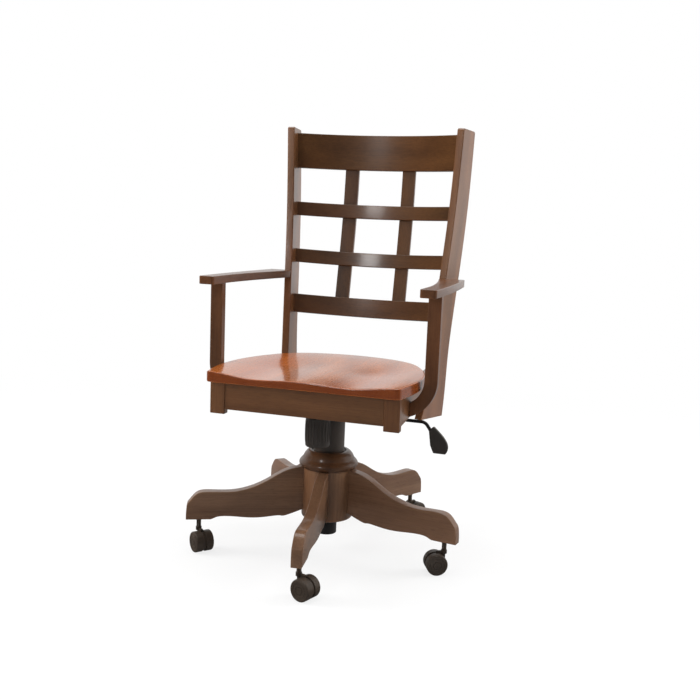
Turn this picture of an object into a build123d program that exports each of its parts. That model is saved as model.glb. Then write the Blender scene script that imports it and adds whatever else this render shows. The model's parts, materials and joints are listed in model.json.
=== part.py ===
from build123d import *
import math
import os

# A wooden desk armchair on a five-leg swivel base, in millimetres and degrees.
# The origin is on the floor under the column, +Z up, the sitter faces -Y.
# Shares are parts of the named size that they follow.

# Stock and fits
board = 19.0
overrun = 1.0
running_gap = 0.05
part_gap = 0.3
eased = 2.0

# Heights above the floor
leg_foot_z = 76.0
hub_bottom = 80.0
hub_top = 206.0
cap_top = 248.0
mech_bottom = 362.0
frame_bottom = 367.0
seat_bottom = 431.0
seat_thickness = 24.5
arm_top = 664.0
post_foot_z = 296.0
post_height = 751.0

seat_top = seat_bottom + seat_thickness
arm_bottom = arm_top - board


def save(name, *pieces):
    """Write one node, which may be a group of separate solids."""
    solids = [s for piece in pieces for s in piece.solids()]
    shape = solids[0] if len(solids) == 1 else Compound(children=solids)
    shape.label = name
    export_step(shape, f"parts/{name}.step")
    return shape


def between(low, high):
    """A box from its lowest to its highest corner."""
    size = [b - a for a, b in zip(low, high)]
    middle = [(a + b) / 2 for a, b in zip(low, high)]
    return Pos(*middle) * Box(*size)


def post_between(radius, low, high, x=0.0, y=0.0):
    """An upright cylinder between two heights."""
    return Pos(x, y, (low + high) / 2) * Cylinder(radius, high - low)


def pipe(outer, inner, low, high, x=0.0, y=0.0):
    """An upright tube with its bore open at both ends."""
    bore = post_between(inner, low - overrun, high + overrun, x, y)
    return post_between(outer, low, high, x, y) - bore


def other_side(shape):
    return mirror(shape, Plane.YZ)


def on_edge(edge, height):
    """The share of a rising edge's length at which it reaches a height, found by halving."""
    low, high = 0.0, 1.0
    for _ in range(40):
        middle = (low + high) / 2
        if (edge @ middle).Y < height:
            low = middle
        else:
            high = middle
    return middle


# Base: turned hub, cap ring, five sawn legs

hub_radius = 63.0
hub_ease = 7.0
cap_radius = 72.0
cap_waist = 66.0
cap_neck = 47.0
cap_bead = 20.0
seat_of_cover = 4.0
leg_count = 5
leg_turn = -10.0
leg_thickness = 25.0
leg_reach = 343.0
leg_seat_depth = 10.0
leg_root_low = 99.0
leg_tip_radius = 22.0
leg_ease = 2.0
stem_inset = 31.0
dowel_radius = 5.0
dowel_length = 44.0
dowel_gap_share = 0.28

sleeve_outer = 28.0
sleeve_flange = 34.0
sleeve_flange_thickness = 3.0
tube_outer = 25.0
tube_wall = 1.8
tube_bottom = 38.0
tube_top = 338.0

leg_span = leg_reach - hub_radius
stem_radius_from_axis = leg_reach - stem_inset
leg_rise = hub_top - leg_foot_z
leg_root = hub_radius - leg_seat_depth


def leg_angle(index):
    return leg_turn + index * 360.0 / leg_count


def around(shape, index):
    return Rot(0, 0, leg_angle(index)) * shape


def leg_point(reach_share, rise_share):
    return (hub_radius + reach_share * leg_span, leg_foot_z + rise_share * leg_rise)


def make_leg():
    """One S-shaped leg, standing in the XZ plane, with its root let into the hub."""
    top_shares = [(0.0, 1.0), (0.12, 0.955), (0.311, 0.738), (0.454, 0.6), (0.6, 0.531),
                  (0.811, 0.531), (0.911, 0.49), (0.968, 0.36), (1.0, 0.1)]
    under_shares = [(0.793, 0.0), (0.75, 0.035), (0.668, 0.06), (0.525, 0.038), (0.346, 0.031),
                    (0.204, 0.062), (0.0, (leg_root_low - leg_foot_z) / leg_rise)]
    top = [leg_point(*p) for p in top_shares]
    under = [leg_point(*p) for p in under_shares]
    with BuildPart() as leg:
        with BuildSketch(Plane.XZ):
            with BuildLine():
                Polyline((leg_root, hub_top), top[0])
                Spline(*top, tangents=[(1, -0.1), (0.05, -1)])
                Polyline(top[-1], (leg_reach, leg_foot_z), under[0])
                Spline(*under, tangents=[(-1, 0.15), (-1, 0.4)])
                Polyline(under[-1], (leg_root, leg_root_low), (leg_root, hub_top))
            make_face()
        extrude(amount=leg_thickness / 2, both=True)
        long_edges = [e for e in leg.edges() if e.length > leg_thickness * 1.05
                      and abs(abs(e.center().Y) - leg_thickness / 2) < part_gap
                      and e.center().X > hub_radius + leg_tip_radius / 2]
        fillet(long_edges, leg_ease)
    return leg.part


socket_radius = 6.5
socket_flange = 8.5
socket_flange_thickness = 1.0
socket_depth = 38.0
stem_radius = 5.5


def caster_socket():
    """Steel liner driven up into the leg's foot, with its flange under the wood."""
    low = leg_foot_z - socket_flange_thickness
    liner = post_between(socket_radius, low, leg_foot_z + socket_depth)
    flange = post_between(socket_flange, low, leg_foot_z)
    bore = post_between(stem_radius + running_gap, low - overrun, leg_foot_z + socket_depth - eased)
    return liner + flange - bore


def leg_dowels():
    """Two dowels across the joint between a leg and the hub."""
    middle = (leg_root_low + hub_top) / 2
    offset = (hub_top - leg_root_low) * dowel_gap_share
    pins = []
    for side in (-1, 1):
        place = Pos(leg_root, 0, middle + side * offset) * Rot(0, 90, 0)
        pins.append(place * Cylinder(dowel_radius, dowel_length))
    return pins


plain_leg = make_leg()
socket = Pos(stem_radius_from_axis, 0, 0) * caster_socket()
socket_hole = post_between(socket_radius, leg_foot_z - overrun, leg_foot_z + socket_depth,
                           stem_radius_from_axis)
dowels = leg_dowels()
leg = plain_leg - socket_hole
for pin in dowels:
    leg -= pin

hub = post_between(hub_radius, hub_bottom, hub_top)
hub = fillet(hub.edges().group_by(Axis.Z)[0], hub_ease)
hub -= post_between(sleeve_outer, hub_bottom - overrun, hub_top + overrun)
hub -= post_between(sleeve_flange, hub_bottom - overrun, hub_bottom + sleeve_flange_thickness)
groove = between((leg_root, -leg_thickness / 2, leg_root_low),
                 (hub_radius + overrun, leg_thickness / 2, hub_top + overrun))
for k in range(leg_count):
    hub -= around(groove, k)
    for pin in dowels:
        hub -= around(pin, k)
save("hub", hub)


def make_cap():
    """Turned ring over the legs' roots: a bead, a cove and a neck round the cover."""
    bead_mid = hub_top + cap_bead / 2
    bead_top = hub_top + cap_bead
    with BuildPart() as cap:
        with BuildSketch(Plane.XZ):
            with BuildLine():
                Polyline((sleeve_outer, cap_top - seat_of_cover), (sleeve_outer, hub_top),
                         (cap_waist, hub_top))
                ThreePointArc((cap_waist, hub_top), (cap_radius, bead_mid), (cap_waist, bead_top))
                Spline((cap_waist, bead_top), (cap_neck + eased * 2, cap_top - eased),
                       (cap_neck, cap_top), tangents=[(-0.2, 1), (-1, 0.15)])
                Polyline((cap_neck, cap_top), (cover_radius[0] + 3 * eased, cap_top),
                         (cover_radius[0] + 2 * eased, cap_top - seat_of_cover),
                         (sleeve_outer, cap_top - seat_of_cover))
            make_face()
        revolve(axis=Axis.Z)
    return cap.part


# Three telescopic cover tubes round the gas spring, the outermost carried by the mechanism
cover_radius = [37.0, 34.0, 31.0]
cover_wall = 1.5
cover_bottom = cap_top - seat_of_cover + part_gap
cover_lip = 2.0
save("hub_cap", make_cap())

sleeve = pipe(sleeve_outer, tube_outer, hub_bottom, hub_top)
sleeve += pipe(sleeve_flange, tube_outer, hub_bottom, hub_bottom + sleeve_flange_thickness)
save("column_sleeve", sleeve)

for k in range(leg_count):
    save(f"leg_{k + 1}", around(leg, k))
save("leg_dowels", *[around(pin, k) for k in range(leg_count) for pin in dowels])
save("caster_sockets", *[around(socket, k) for k in range(leg_count)])

# Casters: plastic yoke between two wheels, steel stem above, steel axle through

wheel_radius = 25.0
wheel_width = 19.0
wheel_ease = 4.0
wheel_rim = 4.0
wheel_cup = 3.0
hub_boss_radius = 8.0
wheel_apart = 7.0
axle_radius = 3.0
axle_depth = 13.0
trail = 19.0
yoke_thickness = 6.0
yoke_rim = 22.5
yoke_neck = 7.0
yoke_neck_low = 47.5
yoke_neck_high = 56.0
stem_shoulder = 7.0
stem_shoulder_length = 2.0
trail_turns = [205.0, 62.0, 150.0, -40.0, -19.0]


def make_wheel():
    """One wheel, turned about Z: flat outer face, rounded tread edge, cup and boss inside."""
    inside = wheel_apart / 2
    outside = inside + wheel_width
    cup = inside + wheel_cup
    rim_radius = wheel_radius - wheel_rim
    with BuildPart() as wheel:
        with BuildSketch(Plane.XZ) as profile:
            with BuildLine():
                Polyline((0, outside), (0, inside + part_gap), (hub_boss_radius, inside + part_gap),
                         (hub_boss_radius, cup), (rim_radius, cup), (rim_radius, inside),
                         (wheel_radius, inside), (wheel_radius, outside), (0, outside))
            make_face()
            tread = profile.vertices().group_by(Axis.X)[-1].sort_by(Axis.Y)
            fillet(tread[-1], wheel_ease)
            fillet(tread[0], eased / 2)
        revolve(axis=Axis.Z)
    bore = post_between(axle_radius + running_gap, 0, inside + axle_depth)
    return wheel.part - bore


def make_yoke():
    """Disc between the wheels with a web that rises to the boss round the stem."""
    disc = Pos(trail, 0, wheel_radius) * Rot(90, 0, 0) * Cylinder(yoke_rim, yoke_thickness)
    half = yoke_thickness / 2
    web = between((-half, -half, wheel_radius), (trail, half, yoke_neck_high - eased))
    boss = post_between(yoke_neck, yoke_neck_low, yoke_neck_high)
    return disc + web + boss


shoulder_high = leg_foot_z - socket_flange_thickness - part_gap
stem_tip = leg_foot_z + socket_depth - 3 * eased
stem_low = yoke_neck_low + eased
wheel = make_wheel()
yoke = make_yoke()
axle_hole = Pos(trail, 0, wheel_radius) * Rot(90, 0, 0) * Cylinder(axle_radius, wheel_apart * 3)
stem_hole = post_between(stem_radius, stem_low, yoke_neck_high + overrun)
yoke = yoke - axle_hole - stem_hole
stem = post_between(stem_radius, stem_low, stem_tip)
stem += post_between(stem_shoulder, shoulder_high - stem_shoulder_length, shoulder_high)
stem = chamfer(stem.edges().group_by(Axis.Z)[-1], eased / 2)
axle_length = wheel_apart + 2 * axle_depth - eased
axle = Pos(trail, 0, wheel_radius) * Rot(90, 0, 0) * Cylinder(axle_radius, axle_length)
near_wheel = Pos(trail, 0, wheel_radius) * Rot(90, 0, 0) * wheel
far_wheel = mirror(near_wheel, Plane.XZ)

for k in range(leg_count):
    turn = math.radians(leg_angle(k))
    spot = Pos(stem_radius_from_axis * math.cos(turn), stem_radius_from_axis * math.sin(turn), 0)
    place = spot * Rot(0, 0, trail_turns[k])
    save(f"caster_frame_{k + 1}", place * yoke, place * stem, place * axle)
    save(f"caster_wheels_{k + 1}", place * near_wheel, place * far_wheel)

# Gas spring: outer tube in the hub, pressure tube that slides and turns in it,
# piston rod held at the bottom by a thrust bearing and a clip

stroke = 100.0
floor_of_tube = 3.0
rod_radius = 5.0
rod_bottom = tube_bottom - 5.0
head_z = 262.0
head_height = 12.0
pressure_radius = 14.0
pressure_wall = 2.5
pressure_bottom = 118.0
gland_height = 12.0
pressure_top = 400.0
taper_top_radius = 13.0
bushing_wall = 3.0
bushing_bottom = 236.0
race_radius = 12.0
race_height = 5.0
clip_radius = 9.0
clip_height = 1.6
valve_radius = 4.0
valve_rise = 3.6

tube_inner = tube_outer - tube_wall
tube = pipe(tube_outer, tube_inner, tube_bottom, tube_top)
tube += pipe(tube_inner, rod_radius + running_gap, tube_bottom, tube_bottom + floor_of_tube)
tube = chamfer(tube.edges().group_by(Axis.Z)[0].sort_by(SortBy.LENGTH)[-1], eased / 2)
save("outer_tube", tube)
save("guide_bushing", pipe(tube_inner, pressure_radius + running_gap, bushing_bottom, tube_top))

race_low = tube_bottom + floor_of_tube
lower_race = pipe(race_radius, rod_radius + running_gap, race_low, race_low + race_height)
save("thrust_bearing", lower_race)

shoulder_z = race_low + race_height + running_gap
rod = post_between(rod_radius, rod_bottom, head_z)
rod += post_between(race_radius, shoulder_z, shoulder_z + race_height)
rod += post_between(pressure_radius - pressure_wall - running_gap, head_z, head_z + head_height)
rod = chamfer(rod.edges().group_by(Axis.Z)[0], eased / 2)
clip_top = tube_bottom - part_gap
clip = pipe(clip_radius, rod_radius, clip_top - clip_height, clip_top)
slit = between((0, -rod_radius / 2, clip_top - clip_height - overrun),
               (clip_radius + overrun, rod_radius / 2, clip_top + overrun))
save("piston_rod", rod)
save("rod_clip", clip - slit)

pressure = post_between(pressure_radius, pressure_bottom, mech_bottom)
pressure += Pos(0, 0, mech_bottom) * Solid.make_cone(pressure_radius, taper_top_radius,
                                                   pressure_top - mech_bottom)
cavity_top = mech_bottom - gland_height
pressure -= post_between(pressure_radius - pressure_wall, pressure_bottom + gland_height, cavity_top)
pressure -= post_between(rod_radius + running_gap, pressure_bottom - overrun,
                         pressure_bottom + gland_height + overrun)
valve_seat = pressure_top - 4 * valve_rise
pressure -= post_between(valve_radius + running_gap, valve_seat, pressure_top + overrun)
save("pressure_tube", pressure)
valve = post_between(valve_radius, valve_seat + 2 * valve_rise, pressure_top + valve_rise)
save("valve_button", fillet(valve.edges().group_by(Axis.Z)[-1], valve_radius / 3))

cover_tops = [mech_bottom, mech_bottom - 2 * cover_lip, mech_bottom - 4 * cover_lip]
cover_names = ["cover_outer", "cover_middle", "cover_inner"]
for name, radius, top in zip(cover_names, cover_radius, cover_tops):
    stage = pipe(radius, radius - cover_wall, cover_bottom, top)
    inner_lip = min(radius - cover_wall, tube_outer + cover_lip + overrun + part_gap)
    if name == "cover_outer":
        inner_lip = pressure_radius + cover_lip
        stage += pipe(radius, inner_lip, top - cover_lip, top)
    if name == "cover_inner":
        stage += pipe(radius, tube_outer + part_gap, cover_bottom - part_gap,
                      cover_bottom - part_gap + cover_lip)
    save(name, stage)

# Swivel-tilt mechanism: pressed housing on the pressure tube, plate under the seat,
# pivot pin, tension bolt with its spring and knob, lift lever

housing_half = 44.0
housing_wall = 3.0
housing_front = -114.0
housing_back = 62.0
housing_front_top = 423.0
housing_back_top = 396.0
housing_nose = 30.0
boss_radius = 21.0
pivot_y = -36.0
pivot_z = 398.0
pivot_radius = 6.0
pin_head = 9.0
pin_head_length = 3.0
ear_wall = 3.0
ear_radius = 15.0
plate_thickness = 3.0
plate_half = 85.0
plate_front = -132.0
plate_back = 92.0
plate_corner = 18.0
tension_y = -90.0
bolt_radius = 5.0
bolt_head_radius = 8.5
bolt_head_height = 4.5
strap_drop = 14.0
strap_thickness = 3.0
strap_half = 18.0
strap_length = 30.0
knob_radius = 30.0
knob_wall = 3.0
knob_bottom = 276.0
knob_floor = 8.0
knob_gap = 16.0
knob_flutes = 24
flute_radius = 2.4
nut_radius = 9.0
nut_height = 7.0
washer_thickness = 2.0
spring_outer = 22.0
spring_inner = 15.0
lever_radius = 4.0
lever_pivot_x = 56.0
lever_low = 340.0
lever_bend = 18.0
lever_first_bend = 74.0
lever_second_bend = 122.0
lever_third_bend = 236.0
lever_end = (256.0, 312.0)
lug_thickness = 4.0
lug_radius = 7.0
trunnion_radius = 3.0
trunnion_half = 13.0
lever_slot_share = 1.6

plate_low = seat_bottom - plate_thickness
lever_high = pressure_top + valve_rise + part_gap + lever_radius


def housing_outline(y_from, y_to, low):
    """Side view of the housing: raised front, nose cut back under it, falling rear."""
    with BuildPart() as side:
        with BuildSketch(Plane.YZ):
            with BuildLine():
                Polyline((y_from, low + housing_nose), (y_from, housing_front_top),
                         (pivot_y, housing_front_top), (y_to, housing_back_top), (y_to, low),
                         (y_from + housing_nose / 2, low), (y_from, low + housing_nose))
            make_face()
        extrude(amount=housing_half, both=True)
    return side.part


housing = housing_outline(housing_front, housing_back, mech_bottom)
upright = [e for e in housing.edges() if e.length > 1.9 * housing_half
           and e.center().Z < housing_back_top - housing_wall]
housing = fillet(upright, housing_wall)
inside = between((-housing_half + housing_wall, housing_front + housing_wall,
                  mech_bottom + housing_wall),
                 (housing_half - housing_wall, housing_back - housing_wall,
                  seat_bottom + overrun))
inside &= Pos(0, 0, housing_wall) * housing_outline(
    housing_front + housing_wall, housing_back - housing_wall, mech_bottom) + between(
        (-housing_half, housing_front + housing_wall, housing_back_top - housing_wall),
        (housing_half, housing_back - housing_wall, seat_bottom + overrun))
housing -= inside
housing += post_between(boss_radius, mech_bottom, pressure_top - 2 * valve_rise)
taper_room = Pos(0, 0, mech_bottom) * Solid.make_cone(pressure_radius, taper_top_radius,
                                                    pressure_top - mech_bottom)
housing -= taper_room
housing -= Pos(0, tension_y, mech_bottom) * Cylinder(bolt_radius + part_gap + overrun,
                                                     4 * housing_wall)
pivot_line = Pos(0, pivot_y, pivot_z) * Rot(0, 90, 0)
housing -= pivot_line * Cylinder(pivot_radius, 3 * housing_half)
lever_line = Pos(lever_pivot_x, 0, lever_high) * Rot(90, 0, 0)
lug_offset = trunnion_half - lug_thickness / 2
for side in (-1, 1):
    lug = lever_line * Pos(0, 0, side * lug_offset) * Cylinder(lug_radius, lug_thickness)
    y_mid = side * lug_offset
    arm_of_lug = between((housing_half, y_mid - lug_thickness / 2, lever_high - 3 * lug_radius),
                         (lever_pivot_x + lug_radius, y_mid + lug_thickness / 2, lever_high))
    housing += lug + arm_of_lug
housing -= lever_line * Cylinder(trunnion_radius + running_gap, 3 * trunnion_half)
slot_half = lever_radius * lever_slot_share
housing -= between((0, -slot_half, lever_high - 2 * slot_half),
                   (housing_half + overrun, slot_half, seat_bottom))
save("mechanism_housing", housing)

pin = pivot_line * Cylinder(pivot_radius, 2 * (housing_half + ear_wall + part_gap * 2))
pin_end = housing_half + ear_wall + 2 * part_gap + pin_head_length / 2
for side in (-1, 1):
    pin += pivot_line * Pos(0, 0, side * pin_end) * Cylinder(pin_head, pin_head_length)
save("tilt_pin", pin)

plate = between((-plate_half, plate_front, plate_low), (plate_half, plate_back, seat_bottom))
plate = fillet(plate.edges().filter_by(Axis.Z), plate_corner)
ear_in = housing_half + part_gap
for side in (-1, 1):
    ear = between((ear_in, pivot_y - ear_radius, pivot_z), (ear_in + ear_wall,
                                                         pivot_y + ear_radius, plate_low))
    ear += Pos(ear_in + ear_wall / 2, pivot_y, pivot_z) * Rot(0, 90, 0) * Cylinder(
        ear_radius, ear_wall)
    plate += ear if side > 0 else other_side(ear)
plate -= pivot_line * Cylinder(pivot_radius + running_gap, 3 * housing_half)
strap_low = plate_low - strap_drop
strap = between((-strap_length / 2, tension_y - strap_half, strap_low),
                (strap_length / 2, tension_y + strap_half, plate_low))
strap -= between((-strap_length / 2 + strap_thickness, tension_y - strap_half - overrun,
                  strap_low + strap_thickness),
                 (strap_length / 2 - strap_thickness, tension_y + strap_half + overrun,
                  plate_low + overrun))
strap_slot = bolt_radius + 3 * eased
strap -= between((-bolt_radius - part_gap, tension_y - strap_slot, strap_low - overrun),
                 (bolt_radius + part_gap, tension_y + strap_slot,
                  strap_low + strap_thickness + overrun))
plate += strap

screw_radius = 2.4
screw_head = 4.6
screw_head_height = 2.6
screw_length = 18.0
plate_screws = []
for x_side in (-1, 1):
    for y_spot in (plate_front + plate_corner, plate_back - plate_corner):
        x_spot = x_side * (plate_half - plate_corner)
        shank = post_between(screw_radius, plate_low, plate_low + screw_length, x_spot, y_spot)
        head = post_between(screw_head, plate_low - screw_head_height, plate_low, x_spot, y_spot)
        plate_screws.append(head + shank)
        plate -= post_between(screw_radius, plate_low - overrun, seat_bottom + overrun,
                              x_spot, y_spot)
save("seat_plate", plate)

bolt_head_low = strap_low + strap_thickness + part_gap
bolt_low = knob_bottom + knob_floor / 2
bolt = post_between(bolt_radius, bolt_low, bolt_head_low, 0, tension_y)
bolt += post_between(bolt_head_radius, bolt_head_low, bolt_head_low + bolt_head_height, 0, tension_y)
bolt = fillet(bolt.edges().group_by(Axis.Z)[-1], eased / 2)
save("tension_bolt", bolt)

knob_top = mech_bottom - knob_gap
knob = post_between(knob_radius, knob_bottom, knob_top, 0, tension_y)
knob = fillet(knob.edges().group_by(Axis.Z)[0], knob_wall * 1.5)
knob -= post_between(knob_radius - knob_wall, knob_bottom + knob_floor, knob_top + overrun,
                     0, tension_y)
for k in range(knob_flutes):
    angle = math.radians(k * 360.0 / knob_flutes)
    knob -= post_between(flute_radius, knob_bottom - overrun,
                         knob_top - 4 * knob_wall,
                         (knob_radius + flute_radius / 2) * math.cos(angle),
                         tension_y + (knob_radius + flute_radius / 2) * math.sin(angle))
nut_low = knob_bottom + knob_floor
nut = Pos(0, tension_y, nut_low) * extrude(RegularPolygon(nut_radius, 6), nut_height)
nut -= post_between(bolt_radius + running_gap, nut_low - overrun, nut_low + nut_height + overrun,
                    0, tension_y)
knob -= post_between(bolt_radius + running_gap, knob_bottom - overrun, nut_low + overrun,
                     0, tension_y)
save("tension_knob", knob)
washer_low = nut_low + nut_height
washer = Pos(0, tension_y, 0) * pipe(spring_outer, bolt_radius + running_gap, washer_low,
                                     washer_low + washer_thickness)
save("knob_nut", nut, washer)
save("tilt_spring", Pos(0, tension_y, 0) * pipe(
    spring_outer, spring_inner, washer_low + washer_thickness, mech_bottom))


def make_lever():
    """Bent rod from over the valve, down below the side apron and out to the paddle."""
    path_points = [(-lever_radius, lever_high), (lever_first_bend, lever_high),
                   (lever_second_bend, lever_low), (lever_third_bend, lever_low), lever_end]
    with BuildPart() as rod:
        with BuildLine(Plane.XZ) as path:
            FilletPolyline(*path_points, radius=lever_bend)
        start = path.line @ 0
        with BuildSketch(Plane(origin=start, z_dir=path.line % 0)):
            Circle(lever_radius)
        sweep()
    trunnion = lever_line * Cylinder(trunnion_radius, 2 * trunnion_half + 2 * eased)
    return rod.part + trunnion


save("lift_lever", make_lever())

paddle_thickness = 11.0
paddle_ease = 2.5
paddle_corner = 4.0
paddle_left = 246.0
paddle_low = 268.0
paddle_width = 47.0
paddle_height = 64.0


def make_paddle():
    """Flat grip on the lever's end, hanging down and widening outwards."""
    heel_shares = [(0.234, 1.0), (0.0, 0.84), (0.106, 0.28), (0.277, 0.0), (0.9, 0.0)]
    back_shares = [(0.9, 0.0), (1.0, 0.28), (0.6, 0.75), (0.234, 1.0)]
    heel = [(paddle_left + u * paddle_width, paddle_low + v * paddle_height) for u, v in heel_shares]
    back = [(paddle_left + u * paddle_width, paddle_low + v * paddle_height) for u, v in back_shares]
    with BuildPart() as grip:
        with BuildSketch(Plane.XZ) as face:
            with BuildLine():
                Polyline(*heel)
                Spline(*back)
            make_face()
            fillet(face.vertices(), paddle_corner)
        extrude(amount=paddle_thickness / 2, both=True)
        rims = [e for e in grip.edges() if abs(abs(e.center().Y) - paddle_thickness / 2) < part_gap]
        fillet(rims, paddle_ease)
    return grip.part - make_lever()


save("lever_paddle", make_paddle())

# Seat frame: front apron between two stub legs, side aprons that close in to the back,
# rear apron, corner blocks

stub_width = 36.0
stub_drop = 75.0
frame_front = -205.0
frame_half = 223.0
apron_setback = 2.0
rear_apron_y = 95.0
side_in_front = 1.0
side_back_half = 203.0
side_back_y = 190.0
block_leg = 55.0
block_clip = 12.0

# Back posts: sabre-shaped boards, toed out to the back and leaning outwards
post_thickness = 19.0
post_outer_at_foot = 195.0
post_foot_y = 140.0
post_toe = 8.5
post_lean = 1.9
post_reach = 134.5
post_ease = 2.5
post_top_corner = 7.0
mortise_depth = 9.0

post_plane = Pos(post_outer_at_foot, post_foot_y, post_foot_z) * Rot(0, post_lean, 0) * Rot(
    0, 0, -post_toe)


def post_edges():
    """Front and rear edge of the post in its own plane: (depth, height) splines."""
    front_shares = [(0.0, 0.021), (0.15, 0.072), (0.3, 0.139), (0.413, 0.219), (0.511, 0.312),
                    (0.706, 0.499), (0.887, 0.699), (0.977, 0.912), (1.0, 1.0)]
    back_shares = [(1.165, 0.0), (1.212, 0.112), (1.218, 0.219), (1.361, 0.405), (1.534, 0.592),
                   (1.609, 0.699), (1.662, 0.912), (1.662, 1.0)]
    front = [Vector(post_reach * d, post_height * h) for d, h in front_shares]
    back = [Vector(post_reach * d, post_height * h) for d, h in back_shares]
    return Edge.make_spline(front), Edge.make_spline(back)


front_edge, back_edge = post_edges()


def make_post():
    with BuildPart() as post:
        with BuildSketch(Plane.YZ) as outline:
            with BuildLine():
                add(front_edge)
                add(back_edge)
                Line(front_edge @ 1, back_edge @ 1)
                Line(front_edge @ 0, back_edge @ 0)
            make_face()
            fillet(outline.vertices().group_by(Axis.Y)[-1], post_top_corner)
        extrude(amount=-post_thickness)
        rims = [e for e in post.edges() if e.length > post_height / 2]
        fillet(rims, post_ease)
    return post.part


# Rails of the back: bent boards set into the posts, leaning with the posts' curve
bend_radius = 680.0
rail_thickness = board
slat_thickness = 9.5
rail_setback = 50.0
rail_ease = 1.2
crest_height = 93.0
slat_height = 37.0
lower_height = 50.0
crest_share = 0.9215
upper_share = 0.7125
middle_share = 0.5433
lower_share = 0.3715
upright_width = 36.5
upright_offset = 80.0

crest_mid = post_foot_z + crest_share * post_height
upper_mid = post_foot_z + upper_share * post_height
middle_mid = post_foot_z + middle_share * post_height
lower_mid = post_foot_z + lower_share * post_height


def post_frame_at(height):
    """Depth of the post's front edge, its lean, and the post's inner face at a height."""
    share = on_edge(front_edge, height - post_foot_z)
    depth = (front_edge @ share).X
    along = front_edge % share
    lean = math.degrees(math.atan2(along.X, along.Y))
    return depth, lean


def bend_at(height):
    """Where rails' front faces meet the posts at a height: depth, lean and half width."""
    depth, lean = post_frame_at(height)
    toe = math.radians(post_toe)
    inset = depth + rail_setback
    half = (post_outer_at_foot + (height - post_foot_z) * math.tan(math.radians(post_lean))
            - post_thickness / math.cos(toe) + inset * math.sin(toe))
    return post_foot_y + inset * math.cos(toe), lean, half


def make_rail(mid, height, thickness):
    """A bent board with eased rims, its ends let into the posts, leaning with them."""
    y_end, lean, half = bend_at(mid)
    centre = -math.sqrt(bend_radius ** 2 - half ** 2)
    swing = 2 * math.degrees(math.asin(half / bend_radius) + mortise_depth / bend_radius)
    outline = Rectangle(thickness, height)
    section = Plane.XZ * Pos(bend_radius + thickness / 2, 0) * chamfer(outline.vertices(), rail_ease)
    rail = Rot(0, 0, 90 - swing / 2) * revolve(section, Axis.Z, swing)
    return Pos(0, y_end, mid) * Rot(-lean, 0, 0) * Pos(0, centre, 0) * rail


right_post = post_plane * make_post()
rail_sizes = {"crest_rail": (crest_mid, crest_height, rail_thickness),
              "upper_slat": (upper_mid, slat_height, slat_thickness),
              "middle_slat": (middle_mid, slat_height, slat_thickness),
              "lower_rail": (lower_mid, lower_height, rail_thickness)}


def make_upright():
    """Upright slat behind the two middle slats, bent to the line of their backs."""
    low = lower_mid + lower_height / 2 - mortise_depth
    high = crest_mid - crest_height / 2 + mortise_depth
    steps = 6
    front, rear = [], []
    for k in range(steps + 1):
        height = low + (high - low) * k / steps
        y_end, lean, half = bend_at(height)
        sag = math.sqrt(bend_radius ** 2 - upright_offset ** 2) - math.sqrt(
            bend_radius ** 2 - half ** 2)
        for line, back in ((front, sag + slat_thickness), (rear, sag + rail_thickness)):
            line.append(Vector(y_end + back * math.cos(math.radians(lean)),
                               height - back * math.sin(math.radians(lean))))
    front_line, rear_line = Edge.make_spline(front), Edge.make_spline(rear)
    outline = [front_line, Edge.make_line(front[-1], rear[-1]), rear_line,
               Edge.make_line(rear[0], front[0])]
    side = Plane.YZ.from_local_coords(Face(Wire(outline)))
    upright = extrude(side, amount=upright_width, dir=(1, 0, 0))
    return Pos(upright_offset - upright_width / 2, 0, 0) * upright


rails = {}
for name, (mid, height, thickness) in rail_sizes.items():
    rails[name] = make_rail(mid, height, thickness)
    right_post -= rails[name]
right_upright = make_upright()
for name in ("upper_slat", "middle_slat"):
    right_upright -= rails[name]
for name in ("crest_rail", "lower_rail"):
    rails[name] = rails[name] - right_upright - other_side(right_upright)
for name, rail in rails.items():
    save(name, rail)
save("upright_slats", right_upright, other_side(right_upright))

# Stub legs, aprons and blocks
stub = between((frame_half - stub_width, frame_front, seat_bottom - stub_drop),
               (frame_half, frame_front + board, seat_bottom))
stub = fillet(stub.edges().filter_by(Axis.Z) + stub.edges().group_by(Axis.Z)[0], eased)
save("stub_legs", stub, other_side(stub))
front_apron = between((-frame_half + stub_width, frame_front + apron_setback, frame_bottom),
                      (frame_half - stub_width, frame_front + board, seat_bottom))
save("front_apron", front_apron)

side_front_y = frame_front + board
side_run = side_back_y - side_front_y
side_shift = frame_half - side_in_front - side_back_half
side_angle = math.degrees(math.atan2(side_shift, side_run))
side_apron = between((-board, -board, frame_bottom), (0, side_run + board, seat_bottom))
side_apron = Pos(frame_half - side_in_front, side_front_y, 0) * Rot(0, 0, side_angle) * side_apron
side_apron -= between((0, frame_front - board, frame_bottom - overrun),
                      (frame_half + board, side_front_y, seat_bottom + overrun))
side_apron -= right_post
side_apron = max(side_apron.solids(), key=lambda s: s.volume)
save("right_apron", side_apron)
save("left_apron", other_side(side_apron))

rear_apron = between((-frame_half, rear_apron_y, frame_bottom),
                     (frame_half, rear_apron_y + board, seat_bottom))
rear_apron = rear_apron - side_apron - other_side(side_apron)
rear_apron = max(rear_apron.solids(), key=lambda s: abs(s.volume) - abs(s.center().X) * s.volume)
save("rear_apron", rear_apron)

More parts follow.
